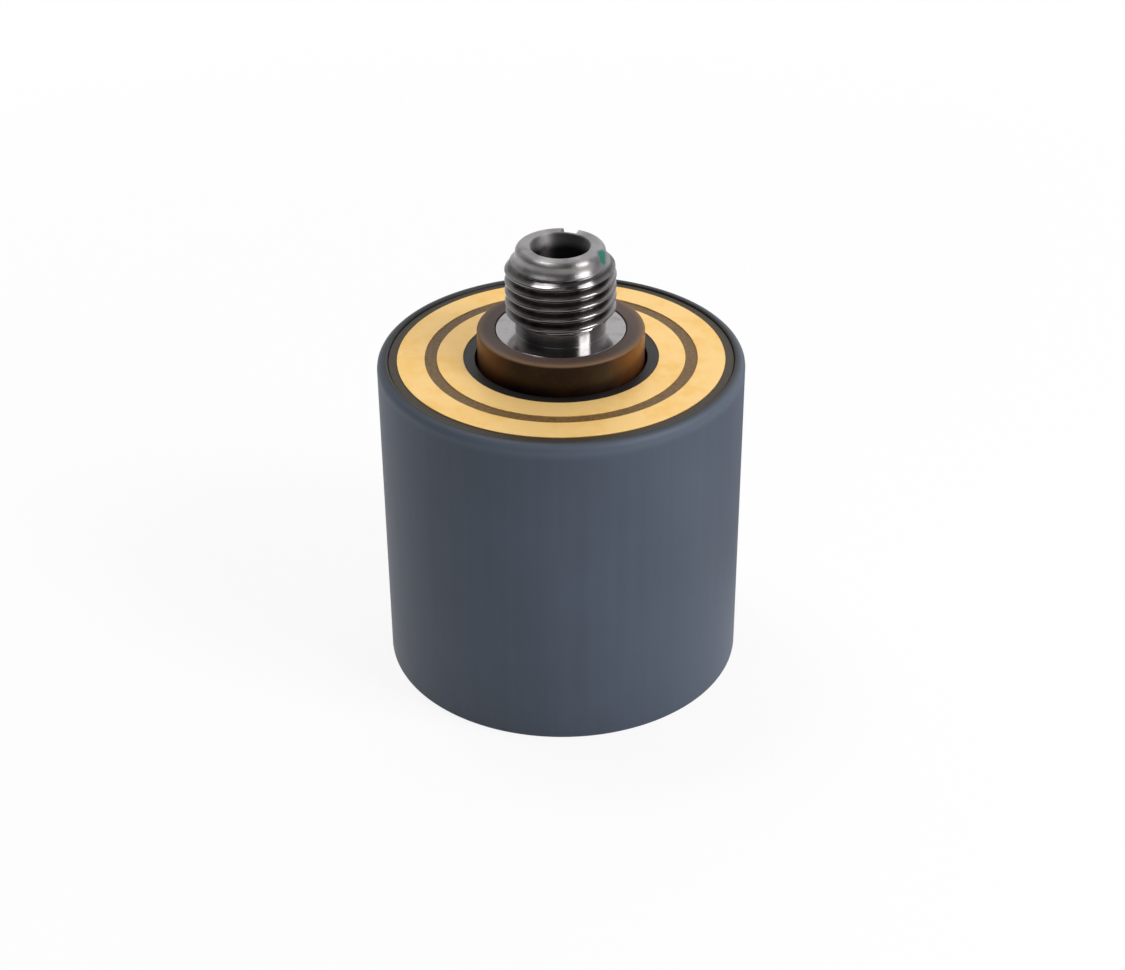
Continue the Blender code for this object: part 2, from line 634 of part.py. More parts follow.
def down_the_notch(angle):
    """The route that each lead shares: down through the flange's notch to the signal board."""
    landing = signal_board_top + SEAT_GAP
    landing_radius = signal_board_radius - 3 * LEAD_RADIUS
    return [
        polar(notch_middle, angle, flange_top + LEAD_RADIUS),
        polar(notch_middle, angle, flange_bottom),
        polar(notch_middle, angle, cup_bottom),
        polar(landing_radius, angle, landing + LEAD_RISE),
        polar(landing_radius, angle, landing),
    ]


def build_leads():
    """The wires from the two rings and from the earth tag."""
    spread = LEAD_SPACING / notch_middle
    drop = Vector((0, 0, -LEAD_RISE))
    under_board = contact_board_bottom - SEAT_GAP
    outer_angle = LEAD_NOTCH_ANGLE + spread
    outer_start = polar((outer_ring_inside + outer_ring_outside) / 2, outer_angle, under_board)
    outer_route = down_the_notch(outer_angle)
    lead("outer_ring_lead", [outer_start, outer_start + drop, *outer_route], "red_lead")
    inner_start = polar((inner_ring_inside + inner_ring_outside) / 2, LEAD_NOTCH_ANGLE, under_board)
    inner_route = down_the_notch(LEAD_NOTCH_ANGLE)
    lead("inner_ring_lead", [inner_start, inner_start + drop, *inner_route], "blue_lead")
    _, (x, y) = around(boss_circle, BOSS_COUNT)[0]
    tongue_end = y + CHASSIS_SCREW["head"] + TAG_TONGUE
    ground_start = Vector((x, tongue_end - 2 * LEAD_RADIUS, tag_top + SEAT_GAP))
    ground_route = down_the_notch(LEAD_NOTCH_ANGLE - spread)
    lead("ground_lead", [ground_start, ground_start - drop, *ground_route], "green_lead")


def main():
    clear_scene()
    build_housing()
    build_spigot()
    build_collar()
    build_contact_board()
    build_capsule()
    build_glass_header()
    build_clamp_ring()
    build_chassis_screws()
    build_ground_tag()
    build_signal_board()
    build_chips()
    build_leads()


main()
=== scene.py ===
import json
import math

import bmesh
import bpy
import numpy as np
from mathutils import Matrix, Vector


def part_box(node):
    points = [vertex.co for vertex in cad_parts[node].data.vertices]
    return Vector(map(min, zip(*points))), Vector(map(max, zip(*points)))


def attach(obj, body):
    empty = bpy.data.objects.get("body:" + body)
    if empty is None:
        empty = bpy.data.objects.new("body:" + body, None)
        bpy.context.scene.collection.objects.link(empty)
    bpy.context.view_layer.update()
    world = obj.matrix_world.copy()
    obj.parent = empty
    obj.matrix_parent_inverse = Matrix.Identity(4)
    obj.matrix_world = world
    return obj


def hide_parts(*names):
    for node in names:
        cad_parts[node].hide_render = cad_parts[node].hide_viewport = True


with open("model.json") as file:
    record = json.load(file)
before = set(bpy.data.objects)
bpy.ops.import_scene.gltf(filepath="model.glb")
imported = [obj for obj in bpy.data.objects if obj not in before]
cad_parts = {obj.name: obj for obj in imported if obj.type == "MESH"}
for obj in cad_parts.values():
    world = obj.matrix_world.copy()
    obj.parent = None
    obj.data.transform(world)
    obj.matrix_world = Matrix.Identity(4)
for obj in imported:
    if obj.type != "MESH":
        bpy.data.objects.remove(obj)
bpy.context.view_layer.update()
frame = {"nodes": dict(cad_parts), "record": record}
mm = 0.001
seatGap = 0.05 * mm  # between pieces that seat on each other
sharpFrom = math.radians(32)  # an edge that turns by more than this stays sharp
print("frame loaded:", len(frame["nodes"]), "nodes")


# Surfaces

def roundedOutline(corners, arcSteps=5, hold=0.03 * mm):
    # corners are (radius, height, fillet). A fillet is the arc that touches both legs of its corner: a point
    # of it is the centre plus its two end spokes, weighted by the sines of the turn left and the turn done,
    # over the sine of the whole turn. A holding point past each end keeps the flats flat under smooth shading
    points = np.array([corner[:2] for corner in corners], float)
    ahead, behind = np.roll(points, -1, 0), np.roll(points, 1, 0)
    stretches = []
    for point, before, after, corner in zip(points, behind, ahead, corners):
        fillet = corner[2]
        if not fillet:
            stretches.append(point[None])
            continue
        legs = np.array([before - point, after - point])
        legs /= np.linalg.norm(legs, axis=1)[:, None]
        opening = math.acos(np.clip(legs[0] @ legs[1], -1, 1))
        centre = point + legs.sum(0) / np.linalg.norm(legs.sum(0)) * fillet / math.sin(opening / 2)
        touching = point + legs * fillet / math.tan(opening / 2)
        spokes = touching - centre
        swing = math.pi - opening
        turned = np.linspace(0, 1, arcSteps + 1)[:, None] * swing
        arc = centre + (np.sin(swing - turned) * spokes[0] + np.sin(turned) * spokes[1]) / math.sin(swing)
        stretches.append(np.vstack([touching[:1] + legs[0] * hold, arc, touching[1:] + legs[1] * hold]))
    return np.vstack(stretches)


def divided(outline, low, high, step, radius):
    # the outline with its straight runs outside the radius and between the two heights cut into even steps
    stretches = []
    for start, end in zip(outline, np.roll(outline, -1, 0)):
        lower, upper = sorted((start[1], end[1]))
        inside = min(start[0], end[0]) >= radius and low <= lower and upper <= high
        count = math.ceil(np.linalg.norm(end - start) / step) if inside else 1
        stretches.append(start + (end - start) * np.arange(count)[:, None] / count)
    return np.vstack(stretches)


def spun(outline, columns):
    # point (i, j) is the outline's point i turned about Z by the column's angle: (r cos a, r sin a, z)
    angles = np.arange(columns) / columns * math.tau
    radii, heights = outline[:, :1], outline[:, 1:]
    return np.stack([radii * np.cos(angles), radii * np.sin(angles), heights + 0 * angles], -1)


def meshOf(name, points, quads):
    mesh = bpy.data.meshes.new(name)
    mesh.vertices.add(len(points))
    mesh.vertices.foreach_set("co", points.astype(np.float32).ravel())
    mesh.loops.add(quads.size)
    mesh.loops.foreach_set("vertex_index", quads.astype(np.int32).ravel())
    mesh.polygons.add(len(quads))
    mesh.polygons.foreach_set("loop_start", np.arange(0, quads.size, 4, dtype=np.int32))
    mesh.update(calc_edges=True)
    return mesh


def gridQuads(rows, columns, closed):
    # quads between neighbouring rows and columns; columns always join round, rows only on a closed outline
    index = np.arange(rows * columns).reshape(rows, columns)
    onward = np.roll(index, -1, 0)
    if not closed:
        index, onward = index[:-1], onward[:-1]
    quads = np.stack([index, np.roll(index, -1, 1), np.roll(onward, -1, 1), onward], -1)
    return quads.reshape(-1, 4)


def facingOut(points, quads):
    # the signed volume under the quads is positive when they face out; the other way round, they are turned
    a, b, c, d = (points[quads[:, k]] for k in range(4))
    volume = np.einsum("ij,ij->i", a, np.cross(b, c)).sum() + np.einsum("ij,ij->i", a, np.cross(c, d)).sum()
    return quads if volume > 0 else quads[:, ::-1]


def skin(name, grid, closed=True, weld=0.0005 * mm):
    # a piece from a grid of points, with the points that fall together, such as those on the axis, merged
    points = grid.reshape(-1, 3)
    quads = facingOut(points, gridQuads(grid.shape[0], grid.shape[1], closed))
    mesh = meshOf(name, points, quads)
    merged = bmesh.new()
    merged.from_mesh(mesh)
    bmesh.ops.remove_doubles(merged, verts=merged.verts, dist=weld)
    merged.to_mesh(mesh)
    merged.free()
    piece = bpy.data.objects.new(name, mesh)
    bpy.context.scene.collection.objects.link(piece)
    return piece


def posts(name, radius, low, high, places, columns=32):
    # upright closed cylinders at the (x, y) places, in one helper mesh for a Boolean
    outline = np.array([(0, low), (radius, low), (radius, high), (0, high)])
    grids = [spun(outline, columns) + np.array([x, y, 0]) for x, y in places]
    helpers = [skin(name, grid, closed=False) for grid in grids]
    return joined(helpers)


def joined(helpers):
    # the helpers' meshes in the first one, and the others removed
    first = helpers[0]
    merged = bmesh.new()
    for helper in helpers:
        merged.from_mesh(helper.data)
    merged.to_mesh(first.data)
    merged.free()
    for helper in helpers[1:]:
        bpy.data.objects.remove(helper)
    return first


def block(name, size, centre, turn):
    # a plain box for a Boolean, turned about Z after it is placed
    helper = bmesh.new()
    place = Matrix.Rotation(turn, 4, "Z") @ Matrix.Translation(centre) @ Matrix.Diagonal((*size, 1))
    bmesh.ops.create_cube(helper, size=1, matrix=place)
    mesh = bpy.data.meshes.new(name)
    helper.to_mesh(mesh)
    helper.free()
    piece = bpy.data.objects.new(name, mesh)
    bpy.context.scene.collection.objects.link(piece)
    return piece


def shaped(piece, tool, operation):
    # an exact Boolean with the helper, applied to the piece's mesh, after which the helper goes
    modifier = piece.modifiers.new("shaping", "BOOLEAN")
    modifier.operation = operation
    modifier.solver = "EXACT"
    modifier.object = tool
    evaluated = piece.evaluated_get(bpy.context.evaluated_depsgraph_get())
    done = bpy.data.meshes.new_from_object(evaluated)
    piece.modifiers.clear()
    old = piece.data
    piece.data = done
    bpy.data.meshes.remove(old)
    bpy.data.objects.remove(tool)
    piece.data.name = piece.name


def finished(piece, material, slot, *nodes):
    piece.data.materials.clear()
    piece.data.materials.append(material)
    piece.data.shade_smooth()
    piece.data.set_sharp_from_angle(angle=sharpFrom)
    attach(piece, "root")
    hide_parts(*nodes)
    print("piece", piece.name, len(piece.data.polygons), "faces")


def around(radius, count, first=0.0):
    # (x, y) places spread evenly round a circle
    angles = first + np.arange(count) * math.tau / count
    return np.stack([radius * np.cos(angles), radius * np.sin(angles)], -1)


# Materials

class Wire:
    # a node's output. An operator on it adds a Math node, and the other side is a number or another wire
    def __init__(self, finish, socket):
        self.finish = finish
        self.socket = socket

    def __add__(self, other):
        return self.finish.maths("ADD", self, other)

    def __radd__(self, other):
        return self.finish.maths("ADD", other, self)

    def __sub__(self, other):
        return self.finish.maths("SUBTRACT", self, other)

    def __rsub__(self, other):
        return self.finish.maths("SUBTRACT", other, self)

    def __mul__(self, other):
        return self.finish.maths("MULTIPLY", self, other)

    def __rmul__(self, other):
        return self.finish.maths("MULTIPLY", other, self)


class Finish:
    # wires one node tree: node() adds any node, and the others are short ways to the common ones
    def __init__(self, tree):
        self.tree = tree
        tree.nodes.clear()

    def node(self, kind, settings, sockets, output=0):
        made = self.tree.nodes.new(kind)
        for key, value in settings.items():
            setattr(made, key, value)
        for key, value in sockets.items():
            self.feed(made.inputs[key], value)
        return Wire(self, made.outputs[output]) if made.outputs else made

    def feed(self, socket, value):
        if isinstance(value, Wire):
            self.tree.links.new(value.socket, socket)
        elif isinstance(value, tuple) and socket.type == "RGBA":
            socket.default_value = (*value, 1)
        else:
            socket.default_value = value

    def maths(self, operation, *values):
        return self.node("ShaderNodeMath", {"operation": operation}, dict(enumerate(values)))

    def mixed(self, factor, first, second):
        return self.node("ShaderNodeMix", {"data_type": "RGBA"}, {0: factor, 6: first, 7: second}, 2)

    def ramp(self, value, low, high):
        # 0 below low, 1 above high and a smooth step between
        sockets = {"Value": value, "From Min": low, "From Max": high}
        return self.node("ShaderNodeMapRange", {"interpolation_type": "SMOOTHSTEP"}, sockets)

    def noise(self, vector, scale, detail=2.0, roughness=0.5):
        sockets = {"Vector": vector, "Scale": scale, "Detail": detail, "Roughness": roughness}
        return self.node("ShaderNodeTexNoise", {}, sockets)

    def place(self):
        return self.node("ShaderNodeTexCoord", {}, {}, "Object")

    def stretched(self, vector, factors):
        return self.node("ShaderNodeVectorMath", {"operation": "MULTIPLY"}, {0: vector, 1: factors})

    def radius(self, place):
        flat = self.stretched(place, (1, 1, 0))
        return self.node("ShaderNodeVectorMath", {"operation": "LENGTH"}, {0: flat}, "Value")

    def height(self, place):
        return self.node("ShaderNodeSeparateXYZ", {}, {0: place}, "Z")

    def section(self, place):
        # (radius, height, 0), so that a pattern on it runs round the axis in rings
        return self.node("ShaderNodeCombineXYZ", {}, {"X": self.radius(place), "Y": self.height(place)})

    def distance(self, place, point):
        return self.node("ShaderNodeVectorMath", {"operation": "DISTANCE"}, {0: place, 1: point}, "Value")

    def bump(self, height, depth, strength=1.0):
        return self.node("ShaderNodeBump", {}, {"Height": height, "Distance": depth, "Strength": strength})


def material(name, build):
    # a Principled material whose sockets are what build returns for the object's place
    made = bpy.data.materials.new(name)
    made.use_nodes = True
    finish = Finish(made.node_tree)
    shader = finish.node("ShaderNodeBsdfPrincipled", {}, build(finish, finish.place()))
    finish.node("ShaderNodeOutputMaterial", {}, {"Surface": shader})
    return made


# In what follows depth is how far a bump reaches, and a pair in brackets is where a change starts and ends
plastic = {
    "colour": (0.074, 0.095, 0.136),
    "dark": (0.064, 0.081, 0.114),
    # the lip's outer edge: partly its wear, partly a painted highlight
    "wornAndHighlit": (0.115, 0.142, 0.185),
    # the lip's top near the board: painted shade
    "lipPaintedShade": (0.034, 0.036, 0.040),
    "clouds": 70,
    "streaks": 900,
    "grain": 5200,
    "uneven": (0.3, 0.7),
    "roughness": 0.5,
    "depth": 0.006 * mm,
    "sheen": 0.28,
    "wornAndHighlitBelow": (2.0 * mm, 0.8 * mm),  # below the lip's top
    "wornAndHighlitShare": 0.7,
    "lipShadeBelow": (0.9 * mm, 0.3 * mm),
    "lipShadeRadii": (21.0 * mm, 21.85 * mm),
}


def housingPlastic(finish, place):
    # soft clouds, upright streaks and a fine moulded grain. The lip's outer edge is lighter, partly from wear
    # and partly as a painted highlight, and its top is darkened towards the board with painted shade
    clouds = finish.noise(place, plastic["clouds"], 3)
    streaks = finish.noise(finish.stretched(place, (1, 1, 0.03)), plastic["streaks"], 2)
    grain = finish.noise(place, plastic["grain"], 2)
    uneven = finish.ramp(clouds * 0.7 + streaks * 0.3, *plastic["uneven"])
    base = finish.mixed(uneven, plastic["dark"], plastic["colour"])
    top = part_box("housing_shell")[1].z
    radius, height = finish.radius(place), finish.height(place)
    # the lip's outer edge made lighter, partly for wear and partly as a painted highlight
    wornAndHighlitFrom, wornAndHighlitTo = (top - below for below in plastic["wornAndHighlitBelow"])
    wornAndHighlit = finish.ramp(height, wornAndHighlitFrom, wornAndHighlitTo) * (0.6 + clouds * 0.4)
    # the lip's top darkened towards the board: painted shade
    lipShadeFrom, lipShadeTo = (top - below for below in plastic["lipShadeBelow"])
    lipPaintedShade = finish.ramp(height, lipShadeFrom, lipShadeTo)
    lipPaintedShade = lipPaintedShade * (1 - finish.ramp(radius, *plastic["lipShadeRadii"]))
    base = finish.mixed(wornAndHighlit * plastic["wornAndHighlitShare"], base, plastic["wornAndHighlit"])
    return {
        "Base Color": finish.mixed(lipPaintedShade, base, plastic["lipPaintedShade"]),
        "Roughness": plastic["roughness"] + (grain - 0.5) * 0.12 + (clouds - 0.5) * 0.08,
        "Normal": finish.bump(grain + streaks * 0.4, plastic["depth"]),
        "Specular IOR Level": plastic["sheen"],
    }


laminate = {
    "outside": (0.036, 0.024, 0.010),
    "dark": (0.07, 0.040, 0.014),
    "between": (0.20, 0.11, 0.030),
    # near-black round the collar: painted shade
    "inside": (0.012, 0.010, 0.010),
    "gap": (14.6 * mm, 16.5 * mm),
    "gapEdge": 0.1 * mm,
    "threads": 430,
    "speckle": 2200,
    "weave": (0.05, 0.85),
    "roughness": 0.36,
    "depth": 0.006 * mm,
    "sheen": 0.34,
}


def laminateFinish(finish, place):
    # glass cloth under the resin: two sets of threads crossing at right angles, broken up by noise. The bare
    # band between the rings is browner, and round the collar the board is almost black with painted shade
    radius = finish.radius(place)
    cloth = {"Vector": place, "Scale": laminate["threads"]}
    across = finish.node("ShaderNodeTexWave", {"bands_direction": "X"}, cloth)
    along = finish.node("ShaderNodeTexWave", {"bands_direction": "Y"}, cloth)
    threads = across * along
    speckle = finish.noise(place, laminate["speckle"], 3)
    inner, outer = laminate["gap"]
    pastInner = finish.ramp(radius, inner, inner + laminate["gapEdge"])
    pastOuter = finish.ramp(radius, outer - laminate["gapEdge"], outer)
    weave = finish.ramp(threads * 0.15 + speckle, *laminate["weave"])
    between = finish.mixed(weave, laminate["dark"], laminate["between"])
    # painted shade round the collar, inside the gap's inner edge
    paintedShadeWithin = finish.mixed(pastInner, laminate["inside"], between)
    return {
        "Base Color": finish.mixed(pastOuter, paintedShadeWithin, laminate["outside"]),
        "Roughness": laminate["roughness"] + speckle * 0.2,
        "Normal": finish.bump(threads * 0.4 + speckle, laminate["depth"]),
        "Specular IOR Level": laminate["sheen"],
    }


gold = {
    "colour": (0.97, 0.65, 0.245),
    "deep": (0.93, 0.575, 0.165),
    "patches": 260,
    "deepening": (0.42, 0.68),
    "speckle": 3600,
    "turning": 9000,
    "roughness": 0.5,
    "metallic": 0.34,
    "depth": 0.006 * mm,
}


def goldPlate(finish, place):
    # deeper patches, a fine speckle that dulls it, and faint rings from the turning
    patches = finish.noise(place, gold["patches"], 4, 0.6)
    speckle = finish.noise(place, gold["speckle"], 3)
    rings = finish.noise(finish.section(place), gold["turning"], 2)
    return {
        "Base Color": finish.mixed(finish.ramp(patches, *gold["deepening"]), gold["colour"], gold["deep"]),
        "Metallic": gold["metallic"],
        "Roughness": gold["roughness"] + (speckle - 0.5) * 0.2 + (patches - 0.5) * 0.14,
        "Normal": finish.bump(speckle + rings * 0.5, gold["depth"]),
    }


collar = {
    "inside": 7.8485 * mm,
    "outside": 9.9985 * mm,
    "edge": 0.25 * mm,
    "otherEdges": 0.1 * mm,
    "columns": 256,
}
amber = {
    # near-black front: painted shade
    "front": (0.013, 0.004, 0.002),
    # orange at the sides: painted glow of light through the plastic
    "paintedGlow": (0.25, 0.085, 0.014),
    # the top's outer edge, lighter by a painted highlight
    "top": (0.18, 0.105, 0.052),
    "topInside": (0.085, 0.055, 0.045),
    "glowAcross": (4.5 * mm, 9.8 * mm),
    "glowAbove": 0.6 * mm,
    "topBelow": (0.3 * mm, 0.05 * mm),  # below the collar's top
    "topMiddle": 8.9 * mm,
    "mottle": 420,
    "turning": 7000,
    "roughness": 0.34,
    "topRoughness": 0.2,
    "depth": 0.008 * mm,
    "sheen": 0.3,
    "softness": 0.25,
    "softReach": (1.0, 0.4, 0.12),
    "softScale": 1.2 * mm,
}


def amberPlastic(finish, place):
    # painted glow at the sides and near the upper edge, where light comes through the plastic, and painted
    # shade that makes the front almost black. The top is lighter towards its outer edge by a painted
    # highlight
    bottom, top = (corner.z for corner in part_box("insulating_collar"))
    mottle = finish.noise(place, amber["mottle"], 4, 0.6)
    rings = finish.noise(finish.section(place), amber["turning"], 2)
    height, radius = finish.height(place), finish.radius(place)
    across = finish.maths("ABSOLUTE", finish.node("ShaderNodeSeparateXYZ", {}, {0: place}, "X"))
    # painted glow towards the left and right sides, fading to painted shade at the front and towards the
    # bottom
    reach = finish.ramp(across, *amber["glowAcross"]) * 0.8 + (mottle - 0.5) * 0.5
    reach = reach * finish.ramp(height, bottom + amber["glowAbove"], top)
    side = finish.mixed(reach, amber["front"], amber["paintedGlow"])
    # the top lighter towards its outer edge: painted highlight
    outward = finish.ramp(radius, amber["topMiddle"], collar["outside"])
    face = finish.mixed(outward, amber["topInside"], amber["top"])
    topFrom, topTo = (top - below for below in amber["topBelow"])
    onTop = finish.ramp(height, topFrom, topTo)
    return {
        "Base Color": finish.mixed(onTop, side, face),
        "Roughness": amber["roughness"] + onTop * amber["topRoughness"] + (rings - 0.5) * 0.15,
        "Normal": finish.bump(rings + mottle * 0.5, amber["depth"]),
        "Subsurface Weight": amber["softness"],
        "Subsurface Radius": amber["softReach"],
        "Subsurface Scale": amber["softScale"],
        "Specular IOR Level": amber["sheen"],
    }


steel = {
    "colour": (0.38, 0.37, 0.37),
    # dark colour of residue, and of painted shade in the thread and deep in the bore
    "residueAndPaintedShade": (0.05, 0.041, 0.044),
    "roughness": 0.21,
    "boreRoughness": 0.32,
    "noseRoughness": 0.16,
    "neckPolish": 0.05,
    "paintRoughness": 0.3,
    "stretch": 0.88,
    "stretchTurn": 0.25,
    "turning": 16000,
    "depth": 0.0022 * mm,
    "stains": 700,
    "stained": (0.45, 0.8),
    "stainShare": 0.3,
    "cleanRadius": 6.45 * mm,
    "darkRadius": 6.05 * mm,
    # the heights of the thread's painted shade
    "threadShadeFrom": 46.4 * mm,
    "threadShadeTo": 53.0 * mm,
    "threadShadeFade": 0.3 * mm,
    # the thread darkened all over and most in its roots: painted shade with some residue
    "threadShadeAndResidue": 0.3,
    "rootShadeAndResidue": 0.5,
    "noseResidue": 0.12,
    "boreRadii": (3.55 * mm, 3.65 * mm),
    "boreDark": (52.8 * mm, 54.2 * mm),
    "boreResidue": 0.05,
    # deep in the bore: painted shade
    "deepPaintedShade": 0.95,
    "green": (0.01, 0.15, 0.11),
    "greenAt": (5.05 * mm, -1.9 * mm, 54.4 * mm),
    "greenRadii": (0.72 * mm, 1.2 * mm),
    "greenRagged": 0.5 * mm,
}


def turnedSteel(finish, place):
    # rings of fine turning marks, darkening down in the thread and the bore, which is painted shade with some
    # residue, a rougher bore and nose, and a dab of green paint with a ragged edge
    radius, height = finish.radius(place), finish.height(place)
    rings = finish.noise(finish.section(place), steel["turning"], 3)
    coarse = finish.noise(finish.section(place), steel["turning"] / 5, 2)
    stains = finish.noise(place, steel["stains"], 4, 0.6)
    wobble = finish.noise(place, 2600, 3)
    aboveNeck = finish.ramp(height, steel["threadShadeFrom"], steel["threadShadeFrom"] + steel["threadShadeFade"])
    onNose = finish.ramp(height, steel["threadShadeTo"], steel["threadShadeTo"] + steel["threadShadeFade"])
    # darker down in the thread's roots and deep in the bore: painted shade, with some residue
    depth = finish.ramp(steel["cleanRadius"] - radius, 0, steel["cleanRadius"] - steel["darkRadius"])
    onThread = (steel["threadShadeAndResidue"] + steel["rootShadeAndResidue"] * depth) * aboveNeck * (1 - onNose)
    inBore = 1 - finish.ramp(radius, *steel["boreRadii"])
    deepInBore = 1 - finish.ramp(height, *steel["boreDark"])
    bored = (steel["boreResidue"] + steel["deepPaintedShade"] * deepInBore) * inBore
    residueAndPaintedShade = (onThread + steel["noseResidue"] * onNose) * (1 - inBore) + bored
    dabReach = finish.distance(place, steel["greenAt"]) + (wobble - 0.5) * steel["greenRagged"]
    dab = 1 - finish.ramp(dabReach, *steel["greenRadii"])
    stained = finish.ramp(stains, *steel["stained"]) * steel["stainShare"]
    base = finish.mixed(stained + residueAndPaintedShade, steel["colour"], steel["residueAndPaintedShade"])
    roughness = steel["roughness"] + (stains - 0.5) * 0.12 + (rings - 0.5) * 0.08
    roughness = roughness + dab * steel["paintRoughness"] + onNose * steel["noseRoughness"]
    return {
        "Base Color": finish.mixed(dab, base, steel["green"]),
        "Metallic": 1 - dab,
        "Roughness": roughness + inBore * steel["boreRoughness"] - (1 - aboveNeck) * steel["neckPolish"],
        "Normal": finish.bump(rings + coarse, steel["depth"]),
        "Anisotropic": steel["stretch"],
        "Anisotropic Rotation": steel["stretchTurn"],
    }


mask = {
    "colour": (0.012, 0.09, 0.035),
    "tracked": (0.03, 0.19, 0.07),
    "cells": 420,
    "trackEdge": (0.06, 0.1),
    "roughness": 0.28,
    "depth": 0.03 * mm,
}


def maskFinish(finish, place):
    # green solder mask, with copper tracks that show as slightly raised, lighter bands
    sockets = {"Vector": place, "Scale": mask["cells"]}
    cells = finish.node("ShaderNodeTexVoronoi", {"feature": "DISTANCE_TO_EDGE"}, sockets)
    tracks = 1 - finish.ramp(cells, *mask["trackEdge"])
    return {
        "Base Color": finish.mixed(tracks, mask["colour"], mask["tracked"]),
        "Roughness": mask["roughness"] + tracks * 0.08,
        "Normal": finish.bump(tracks, mask["depth"]),
    }


# The plainer finishes of what lies inside. noise is its scale and detail, and roughness is the least of it
# and what the noise adds to it
hidden = {
    "brass": {
        "name": "turnedBrass", "shades": ((0.62, 0.42, 0.17), (0.78, 0.57, 0.27)), "noise": (4000, 3),
        "roughness": (0.26, 0.16), "depth": 0.004 * mm, "more": {"Metallic": 1.0}},
    "glass": {
        "name": "fusedGlass", "shades": ((0.05, 0.10, 0.085), (0.09, 0.16, 0.13)), "noise": (1500, 2),
        "roughness": (0.08, 0.1), "depth": 0.01 * mm, "more": {"Coat Weight": 0.6}},
    "seal": {
        "name": "sealRubber", "shades": ((0.012, 0.012, 0.012), (0.035, 0.034, 0.033)), "noise": (900, 3),
        "roughness": (0.5, 0.25), "depth": 0.02 * mm, "more": {}},
    "chip": {
        "name": "chipEpoxy", "shades": ((0.012, 0.012, 0.013), (0.03, 0.03, 0.032)), "noise": (9000, 2),
        "roughness": (0.45, 0.2), "depth": 0.008 * mm, "more": {}},
}
leadColours = {"red": (0.45, 0.02, 0.02), "blue": (0.02, 0.06, 0.4), "green": (0.03, 0.25, 0.05)}
for colourName, colour in leadColours.items():
    scuffed = tuple(0.75 * part for part in colour)
    hidden[f"{colourName}_lead"] = {
        "name": f"{colourName}Insulation", "shades": (colour, scuffed), "noise": (1200, 3),
        "roughness": (0.36, 0.2), "depth": 0.01 * mm, "more": {}}


def speckled(look):
    # two shades mixed by one noise, which also moves the roughness and the bump
    def build(finish, place):
        grain = finish.noise(place, *look["noise"])
        least, added = look["roughness"]
        sockets = {
            "Base Color": finish.mixed(grain, *look["shades"]),
            "Roughness": least + grain * added,
            "Normal": finish.bump(grain, look["depth"]),
        }
        return sockets | look["more"]
    return build


finishes = {
    "housing": material("housingPlastic", housingPlastic),
    "laminate": material("laminateBoard", laminateFinish),
    "gold": material("goldPlate", goldPlate),
    "collar": material("amberPlastic", amberPlastic),
    "steel": material("turnedSteel", turnedSteel),
    "board": material("solderMask", maskFinish),
}
for slot, look in hidden.items():
    finishes[slot] = material(look["name"], speckled(look))
for subpart in frame["record"]["subparts"]:
    node = frame["nodes"][subpart["node"]]
    node.data.materials.clear()
    node.data.materials.append(finishes[subpart["material_slot"]])
print("materials on", len(frame["nodes"]), "nodes")


# The moulded housing: base, wall and rounded lip, with the ledge, bosses and pilot holes inside
housing = {
    "lipWall": 1.3 * mm,
    "lipRound": 1.0 * mm,
    "lipInnerRound": 0.25 * mm,
    "ledgeWidth": 0.8 * mm,
    "ledgeRound": 0.1 * mm,
    "baseThickness": 2.6 * mm,
    "baseRound": 0.35 * mm,
    "floorRound": 0.4 * mm,
    "bosses": 3,
    "bossRadius": 2.6 * mm,
    "bossCircle": 17.5985 * mm,
    "bossColumns": 48,
    "screwHead": 1.5 * mm,
    "clamped": 3.1 * mm,  # the flange and its two seat gaps, between a boss and the head of its screw
    "pilotRadius": 1.35 * mm,
    "pilotBottom": 24.75 * mm,
    "columns": 256,
}


def makeHousing():
    # the outline turned about Z, with the bosses joined to it and the pilot holes cut in them
    top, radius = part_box("housing_shell")[1].z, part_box("housing_shell")[1].x
    lipInside = radius - housing["lipWall"]
    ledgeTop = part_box("contact_board")[0].z - seatGap
    ledgeInside = lipInside - housing["ledgeWidth"]
    outline = roundedOutline([
        (0, 0, 0),
        (radius, 0, housing["baseRound"]),
        (radius, top, housing["lipRound"]),
        (lipInside, top, housing["lipInnerRound"]),
        (lipInside, ledgeTop, 0),
        (ledgeInside, ledgeTop, housing["ledgeRound"]),
        (ledgeInside, housing["baseThickness"], housing["floorRound"]),
        (0, housing["baseThickness"], 0),
    ])
    piece = skin("housing", spun(outline, housing["columns"]), closed=False)
    places = around(housing["bossCircle"], housing["bosses"])
    bossLow = housing["baseThickness"] / 2
    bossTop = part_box("chassis_screw_2")[1].z - housing["screwHead"] - housing["clamped"]
    bosses = posts("bosses", housing["bossRadius"], bossLow, bossTop, places, housing["bossColumns"])
    shaped(piece, bosses, "UNION")
    pilots = posts("pilots", housing["pilotRadius"], housing["pilotBottom"], bossTop + mm, places)
    shaped(piece, pilots, "DIFFERENCE")
    finished(piece, finishes["housing"], "housing", "housing_shell")


makeHousing()


# The laminate disc, with the hairline broken edges that routing leaves, and the two plated rings on it
contacts = {
    "edge": 0.08 * mm,
    "holeRadius": 10.2985 * mm,
    "boardRadius": 20.6485 * mm,
    "inner": (11.6985 * mm, 14.8485 * mm),
    "outer": (16.2985 * mm, 19.5985 * mm),
    "plateEdge": 0.03 * mm,
    "columns": 256,
}


def flatRing(name, node, inside, outside, edge):
    # a rectangle as high as the node, with its upper corners rounded, turned about Z
    low, high = (corner.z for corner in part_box(node))
    corners = [(inside, low, 0), (outside, low, 0), (outside, high, edge), (inside, high, edge)]
    return skin(name, spun(roundedOutline(corners, arcSteps=3), contacts["columns"]))


